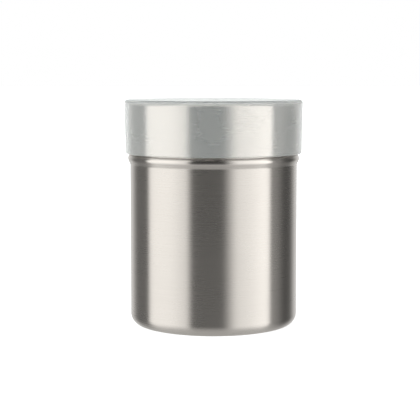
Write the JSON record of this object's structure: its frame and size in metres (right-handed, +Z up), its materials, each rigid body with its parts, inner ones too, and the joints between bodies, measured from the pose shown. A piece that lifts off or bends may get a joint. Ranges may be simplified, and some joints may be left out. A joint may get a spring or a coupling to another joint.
{
  "type": "sifting shaker",
  "caption": "Small cylindrical steel shaker with a push-on sieve cap and a translucent push-on dust cover.",
  "frame": {"origin": "centre of the can's base, on the surface it stands on", "axes": "+Z up along the can's axis; the object is turned about Z, so X and Y are free, and Y runs along the columns of sieve holes"},
  "size_m": [0.0704, 0.0704, 0.0893],
  "materials": {
    "can_steel": "satin, brushed around the body",
    "cap_steel": "satin, brushed around the skirt",
    "sieve_steel": "satin, pierced",
    "ring_steel": "mill finish",
    "cover_plastic": "translucent, lightly frosted"
  },
  "bodies": {
    "can": {"can_body": "can_steel"},
    "cap": {"cap_ring": "cap_steel", "sieve_disc": "sieve_steel", "retaining_ring": "ring_steel"},
    "cover": {"dust_cover": "cover_plastic"}
  },
  "joints": [
    {"name": "cap_lift", "type": "slide", "parent": "can", "child": "cap", "axis": [0, 0, 1], "range_m": [0, 0.03]},
    {"name": "cover_lift", "type": "slide", "parent": "cap", "child": "cover", "axis": [0, 0, 1], "range_m": [0, 0.03]}
  ]
}
